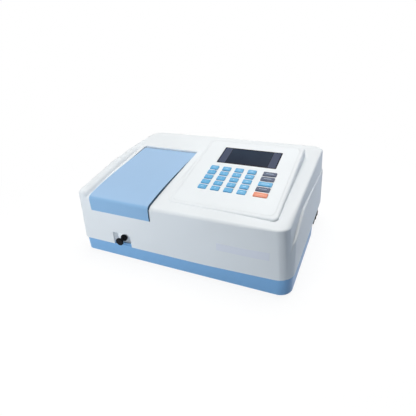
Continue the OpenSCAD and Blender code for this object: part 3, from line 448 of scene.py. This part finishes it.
def meshOf(bm, name):
    mesh = bpy.data.meshes.new(name)
    bm.to_mesh(mesh)
    bm.free()
    return mesh


# a new piece moves with a node's body and takes the given finish; the node's slot is looked up but not
# used
def addPiece(mesh, name, finish, node):
    piece = addObject(name, mesh)
    mesh.materials.clear()
    mesh.materials.append(finishes[finish])
    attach(piece, bodyOf(node))
    slotOf(node)
    return piece


# the ledge line on the right wall falls steeply to the front corner: places along the wall and heights
ledgeSpec = {
    "line": ((-0.150, 0.1005), (-0.142, 0.108), (-0.131, 0.1214), (-0.1154, 0.1214), (-0.0517, 0.133)),
    "drop": ((-0.150, 0.014), (-0.142, 0.019), (-0.133, 0.023), (-0.124, 0.017), (-0.1154, 0.0115),
             (-0.098, 0.006), (-0.060, 0.0)),
    "foot": 0.05, "edge": 0.134,       # heights between which the wall gives way
    "inside": 0.203, "outer": Vector((0.8, -0.6, 0.3)), "facing": 0.1,      # the outer skin alone
    "lean": 0.08}


def along(points, place):
    if place <= points[0][0]:
        return points[0][1]
    for (start, low), (end, high) in zip(points, points[1:]):
        if place <= end:
            return low + (high - low) * (place - start) / (end - start)
    return points[-1][1]


def bendLedge(bm):
    spec = ledgeSpec
    foot, edge = spec["foot"], spec["edge"]
    bm.normal_update()
    for vert in bm.verts:
        x, y, z = vert.co
        if x < spec["inside"] or not foot < z < edge:
            continue
        if vert.normal.dot(spec["outer"]) < spec["facing"]:
            continue
        line = along(spec["line"], y)
        share = (z - foot) / (line - foot) if z < line else (edge - z) / (edge - line)
        drop = along(spec["drop"], y) * min(share, 1.0)
        vert.co = (x + spec["lean"] * drop, y, z - drop)


# pieces dressed from the frame: softened edges and smooth faces, with angles in degrees
dressSpec = {"weld": 1e-6, "flat": 0.4, "hard": 38.0, "smooth": 34.0, "segments": 2, "profile": 0.6,
             "level": 0.0004}


def onConsole(edge):
    return all(abs((v.co - faceOrigin).dot(faceOut) - consoleLevel) < dressSpec["level"]
               for v in edge.verts)


def dress(node, name, finish, edge, hard=dressSpec["hard"], segments=dressSpec["segments"]):
    spec = dressSpec
    bm = bmesh.new()
    bm.from_mesh(nodes[node].data)
    bmesh.ops.remove_doubles(bm, verts=bm.verts, dist=spec["weld"])
    if node == "top_cover":
        bendLedge(bm)
    bmesh.ops.dissolve_limit(bm, angle_limit=radians(spec["flat"]), verts=bm.verts, edges=bm.edges)
    corners = [e for e in bm.edges if len(e.link_faces) == 2
               and e.calc_face_angle(0) > radians(hard) and not onConsole(e)]
    if edge and corners:
        bmesh.ops.bevel(bm, geom=corners, offset=edge, segments=segments, profile=spec["profile"],
                        affect="EDGES", clamp_overlap=True)
    bmesh.ops.recalc_face_normals(bm, faces=bm.faces)
    mesh = meshOf(bm, name)
    mesh.polygons.foreach_set("use_smooth", [True] * len(mesh.polygons))
    mesh.set_sharp_from_angle(angle=radians(spec["smooth"]))
    piece = addPiece(mesh, name, finish, node)
    even = piece.modifiers.new("evenShade", "WEIGHTED_NORMAL")
    even.keep_sharp = True
    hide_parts(node)


# node: piece, finish, rounding of its edges, angle from which an edge is rounded
shellSpec = {
    "top_cover": ("coverShell", "cover", 0.0009, 55.0),
    "base_tray": ("baseShell", "base", 0.0008, 40.0),
    "sample_lid": ("lidShell", "lid", 0.0012, 38.0),
    "console_panel": ("consoleFace", "panel", 0.0, 40.0),
    "display_window": ("displayPane", "window", 0.0003, 40.0),
    "pull_knob": ("spoolKnob", "knob", 0.0, 60.0),
    "rod_bush": ("rodBush", "grey", 0.0003, 40.0),
    "power_switch": ("switchBezel", "switch", 0.0006, 40.0),
    "power_rocker": ("switchRocker", "switch", 0.0006, 40.0),
    "rear_panel": ("rearPlate", "aluminium", 0.0003, 40.0),
    "mains_inlet": ("inletSocket", "switch", 0.0005, 40.0),
    "fan_frame": ("fanFrame", "switch", 0.0005, 40.0),
    "fan_rotor": ("fanBlades", "switch", 0.0003, 40.0),
    "rubber_feet": ("footPads", "rubber", 0.0008, 40.0),
    "sample_chamber": ("chamberTub", "chamber", 0.0005, 40.0),
    "cell_carriage": ("cellHolder", "anodised", 0.0005, 40.0),
    "chamber_seal": ("foamSeal", "foam", 0.0005, 40.0)}

for node, (name, finish, edge, hard) in shellSpec.items():
    dress(node, name, finish, edge, hard)
print("shells dressed:", len(shellSpec))


# keys: small ones in a block, wider ones in a column, each with its finish
keySpec = {"edge": 0.0007, "segments": 3, "smallFinish": "keyBlue",
           "sideFinish": ["keyDark", "keyDark", "keyBlue", "keyDark", "keyOrange"]}
smallKeys = sorted(n for n in nodes if n.startswith("key_r"))
sideKeys = sorted(n for n in nodes if n.startswith("side_key_"))
keyFinish = dict.fromkeys(smallKeys, keySpec["smallFinish"])
keyFinish.update(zip(sideKeys, keySpec["sideFinish"]))
for node, finish in keyFinish.items():
    dress(node, "cap_" + node, finish, keySpec["edge"], segments=keySpec["segments"])
print("keys dressed:", len(keyFinish))


# inner pieces keep their own shape and get a finish
innerSpec = {
    "lid_hinge_brackets": "grey", "lid_hinge_pins": "steel", "bench_screws": "steel",
    "guide_rails": "steel", "pull_rod": "steel", "display_module": "display",
    "keypad_board": "board", "optical_bench": "aluminium", "monochromator_box": "boxGrey",
    "grating_turntable": "brass", "grating_motor": "motor", "lamp_housing": "aluminium",
    "tungsten_lamp": "glass", "deuterium_lamp": "glass", "source_mirror": "mirror",
    "detector_box": "motor", "main_board": "board", "power_supply": "aluminium"}
for node, finish in innerSpec.items():
    slots = nodes[node].data.materials
    slots.clear()
    slots.append(finishes[finish])
print("inner pieces finished:", len(innerSpec))


# bare plate place on the front wall, laid on the wall's own curve
plateSpec = {"left": 0.090, "right": 0.1895, "low": 0.0782, "high": 0.0935,
             "thick": 0.00045, "sunk": 0.0003, "columns": 36, "rows": 6,
             "edge": 0.00015, "hard": 60.0, "before": -0.4}     # before: in front of the wall


def namePlace():
    spec = plateSpec
    rows, columns = spec["rows"], spec["columns"]
    cover = nodes["top_cover"].data
    wall = BVHTree.FromPolygons([v.co for v in cover.vertices], [p.vertices for p in cover.polygons])
    bm = bmesh.new()
    grid = []
    for row in range(rows + 1):
        z = spec["low"] + (spec["high"] - spec["low"]) * row / rows
        line = []
        for column in range(columns + 1):
            x = spec["left"] + (spec["right"] - spec["left"]) * column / columns
            hit = wall.ray_cast(Vector((x, spec["before"], z)), Vector((0, 1, 0)))[0]
            line.append((bm.verts.new(hit + Vector((0, -spec["thick"], 0))),
                         bm.verts.new(hit + Vector((0, spec["sunk"], 0)))))
        grid.append(line)
    for row in range(rows):
        for column in range(columns):
            a, b = grid[row][column], grid[row][column + 1]
            c, d = grid[row + 1][column + 1], grid[row + 1][column]
            bm.faces.new((a[0], b[0], c[0], d[0]))
            bm.faces.new((d[1], c[1], b[1], a[1]))
    rim = (grid[0] + [line[columns] for line in grid[1:]]
           + grid[rows][columns - 1::-1] + [line[0] for line in grid[rows - 1:0:-1]])
    for first, second in zip(rim, rim[1:] + rim[:1]):
        bm.faces.new((second[0], first[0], first[1], second[1]))
    bmesh.ops.recalc_face_normals(bm, faces=bm.faces)
    hard = [e for e in bm.edges if e.calc_face_angle(0) > radians(spec["hard"])]
    bmesh.ops.bevel(bm, geom=hard, offset=spec["edge"], segments=1, affect="EDGES",
                    clamp_overlap=True)
    addPiece(meshOf(bm, "plainPlate"), "plainPlate", "plate", "top_cover")


namePlace()
print("plate place laid")


# generic prints on the keys: figures, and a plain bar where a row has a space
legendSpec = {
    "size": 0.0052, "thick": 0.00006, "lift": 0.00001,
    "barHeight": 0.0013, "smallBar": 0.00756, "sideBar": 0.0162, "round": 0.45, "roundSteps": 4,
    "rows": ("    ", "789 ", "456 ", "123 ", " 0. "), "smallFinish": "legend",
    "sideFinish": ["paleLegend", "paleLegend", "legend", "paleLegend", "warmLegend"]}


def keyTop(node):
    top = max((v.co - faceOrigin).dot(faceOut) for v in nodes[node].data.vertices)
    return Vector(keyJoints["press_" + node]["pos_m"]) + faceOut * top


def printOn(node, mesh, finish):
    turn = Matrix((faceAcross, faceUp, faceOut)).transposed().to_4x4()
    mesh.transform(Matrix.Translation(keyTop(node) + faceOut * legendSpec["lift"]) @ turn)
    addPiece(mesh, mesh.name, finish, node)


def figureMesh(name, text):
    curve = bpy.data.curves.new(name, "FONT")
    curve.body = text
    curve.size = legendSpec["size"]
    curve.extrude = legendSpec["thick"]
    curve.align_x = "CENTER"
    curve.align_y = "CENTER"
    holder = addObject(name + "Curve", curve)
    bpy.context.view_layer.update()
    seen = holder.evaluated_get(bpy.context.evaluated_depsgraph_get())
    mesh = bpy.data.meshes.new_from_object(seen)
    mesh.name = name
    bpy.data.objects.remove(holder)
    bpy.data.curves.remove(curve)
    return mesh


def barMesh(name, width):
    spec = legendSpec
    height, thick = spec["barHeight"], spec["thick"]
    bm = bmesh.new()
    bmesh.ops.create_cube(bm, size=1.0)
    bmesh.ops.scale(bm, vec=(width, height, 2 * thick), verts=bm.verts)
    upright = [e for e in bm.edges if abs((e.verts[0].co - e.verts[1].co).z) > thick]
    bmesh.ops.bevel(bm, geom=upright, offset=height * spec["round"], segments=spec["roundSteps"],
                    affect="EDGES", clamp_overlap=True)
    return meshOf(bm, name)


for node, figure in zip(smallKeys, "".join(legendSpec["rows"])):
    name = "print_" + node
    bare = figure.isspace()
    mesh = barMesh(name, legendSpec["smallBar"]) if bare else figureMesh(name, figure)
    printOn(node, mesh, legendSpec["smallFinish"])
for node, finish in zip(sideKeys, legendSpec["sideFinish"]):
    printOn(node, barMesh("print_" + node, legendSpec["sideBar"]), finish)
print("key prints laid:", len(smallKeys) + len(sideKeys))


# floor, light and camera: what the lens, metal and glass see of the studio is white
white = (1.0, 1.0, 1.0, 1.0)
floorSpec = {"size": 12.0, "bounce": (0.36, 0.42, 0.50), "shown": 0.90, "shade": (0.12, 0.12, 0.12),
             "near": 0.28, "far": 0.75}     # the shadow fades between near and far


def seenDirectly(start):
    camera, mirrored, through = (start.node("ShaderNodeLightPath", output="Is %s Ray" % kind)
                                 for kind in ("Camera", "Glossy", "Transmission"))
    return start.maths("MAXIMUM", start.maths("MAXIMUM", camera, mirrored), through)


def paleFloor():
    spec = floorSpec
    bm = bmesh.new()
    bmesh.ops.create_grid(bm, x_segments=1, y_segments=1, size=spec["size"] / 2)
    mesh = meshOf(bm, "paleFloor")
    floor = addObject("paleFloor", mesh)
    finish, start, place = newFinish("paleFloor")
    glow = start.node("ShaderNodeEmission", {}, {"Color": white, "Strength": spec["shown"]})
    shade = start.node("ShaderNodeBsdfDiffuse", {}, {"Color": rgba(spec["shade"])})
    near = start.node("ShaderNodeAddShader", {}, {0: glow, 1: shade})
    far = start.node("ShaderNodeEmission", {}, {"Color": white, "Strength": 1.0})
    reach = start.node("ShaderNodeVectorMath", {"operation": "LENGTH"}, {0: place}, "Value")
    away = start.node("ShaderNodeMapRange", {}, {
        "Value": reach, "From Min": spec["near"], "From Max": spec["far"]})
    shown = start.node("ShaderNodeMixShader", {}, {0: away, 1: near, 2: far})
    plain = start.node("ShaderNodeBsdfDiffuse", {}, {"Color": rgba(spec["bounce"])})
    both = start.node("ShaderNodeMixShader", {}, {0: seenDirectly(start), 1: plain, 2: shown})
    start.node("ShaderNodeOutputMaterial", {}, {"Surface": both})
    mesh.materials.append(finish)


# the fill runs from the left strength to the right one, along turn
worldSpec = {"fill": (0.70, 0.85, 1.0), "left": 0.07, "right": 0.10, "turn": (0.4, -0.3, 0.0),
             "middle": 0.5}


def studioWorld():
    spec = worldSpec
    world = bpy.data.worlds.new("studioWorld")
    world.use_nodes = True
    world.node_tree.nodes.clear()
    start = Wire(world.node_tree)
    place = start.node("ShaderNodeTexCoord", output="Generated")
    side = dotProduct(start, place, spec["turn"]) + spec["middle"]
    left, right = (start.node("ShaderNodeBackground", {}, {
        "Color": rgba(spec["fill"]), "Strength": spec[name]}) for name in ("left", "right"))
    fill = start.node("ShaderNodeMixShader", {}, {0: side, 1: left, 2: right})
    plain = start.node("ShaderNodeBackground", {}, {"Color": white, "Strength": 1.0})
    both = start.node("ShaderNodeMixShader", {}, {0: seenDirectly(start), 1: fill, 2: plain})
    start.node("ShaderNodeOutputWorld", {}, {"Surface": both})
    bpy.context.scene.world = world


# the low lamps give no glints, so that the top keeps its colour when seen flat
warmLight, coolLight, blueLight = (1.0, 0.99, 0.97), (0.85, 0.93, 1.0), (0.56, 0.73, 1.0)
lampSpec = {
    "overhead": {"place": (0.14, 0.34, 1.6), "aim": (0.05, 0.0, 0.1), "size": 1.2,
                 "power": 23.6, "glints": True, "colour": warmLight},
    "overLeft": {"place": (-0.8, 0.25, 1.4), "aim": (0.0, 0.0, 0.1), "size": 0.8,
                 "power": 1.1, "glints": True, "colour": warmLight},
    "rearLow": {"place": (-0.5, 1.25, 0.12), "aim": (-0.1, 0.1, 0.08), "size": 0.5,
                "power": 4.2, "glints": False, "colour": warmLight},
    "lowFront": {"place": (-0.42, -0.94, 0.3), "aim": (-0.1, 0.0, 0.08), "size": 0.3,
                 "power": 4.05, "glints": False, "colour": warmLight},
    "frontWide": {"place": (-0.2, -1.3, 0.25), "aim": (0.0, 0.0, 0.08), "size": 1.0,
                  "power": 3.3, "glints": False, "colour": coolLight},
    "rightLow": {"place": (0.95, 0.50, 0.10), "aim": (0.2, 0.1, 0.1), "size": 0.5,
                 "power": 2.1, "glints": False, "colour": blueLight}}


def pointAt(thing, spec, roll=0.0):
    look = Vector(spec["aim"]) - Vector(spec["place"])
    thing.location = spec["place"]
    thing.rotation_mode = "QUATERNION"
    thing.rotation_quaternion = (look.to_track_quat("-Z", "Y")
                                 @ Quaternion((0, 0, 1), radians(roll)))


def studioLamps():
    for name, spec in lampSpec.items():
        light = bpy.data.lights.new(name, "AREA")
        light.size = spec["size"]
        light.energy = spec["power"]
        light.color = spec["colour"]
        lamp = addObject(name, light)
        lamp.visible_glossy = spec["glints"]
        pointAt(lamp, spec)


cameraSpec = {"place": (0.3123, -0.6506, 0.4762), "aim": (0.0309, -0.0641, 0.1029), "roll": -3.43,
              "lens": 31.04, "sensor": 36.0, "near": 0.01}


def photoCamera():
    spec = cameraSpec
    lens = bpy.data.cameras.new("photoCamera")
    lens.lens = spec["lens"]
    lens.sensor_width = spec["sensor"]
    lens.sensor_fit = "HORIZONTAL"
    lens.clip_start = spec["near"]
    camera = addObject("photoCamera", lens)
    pointAt(camera, spec, spec["roll"])
    bpy.context.scene.camera = camera


paleFloor()
studioWorld()
studioLamps()
photoCamera()
bpy.context.scene.view_settings.view_transform = "Standard"
print("floor, light and camera placed")
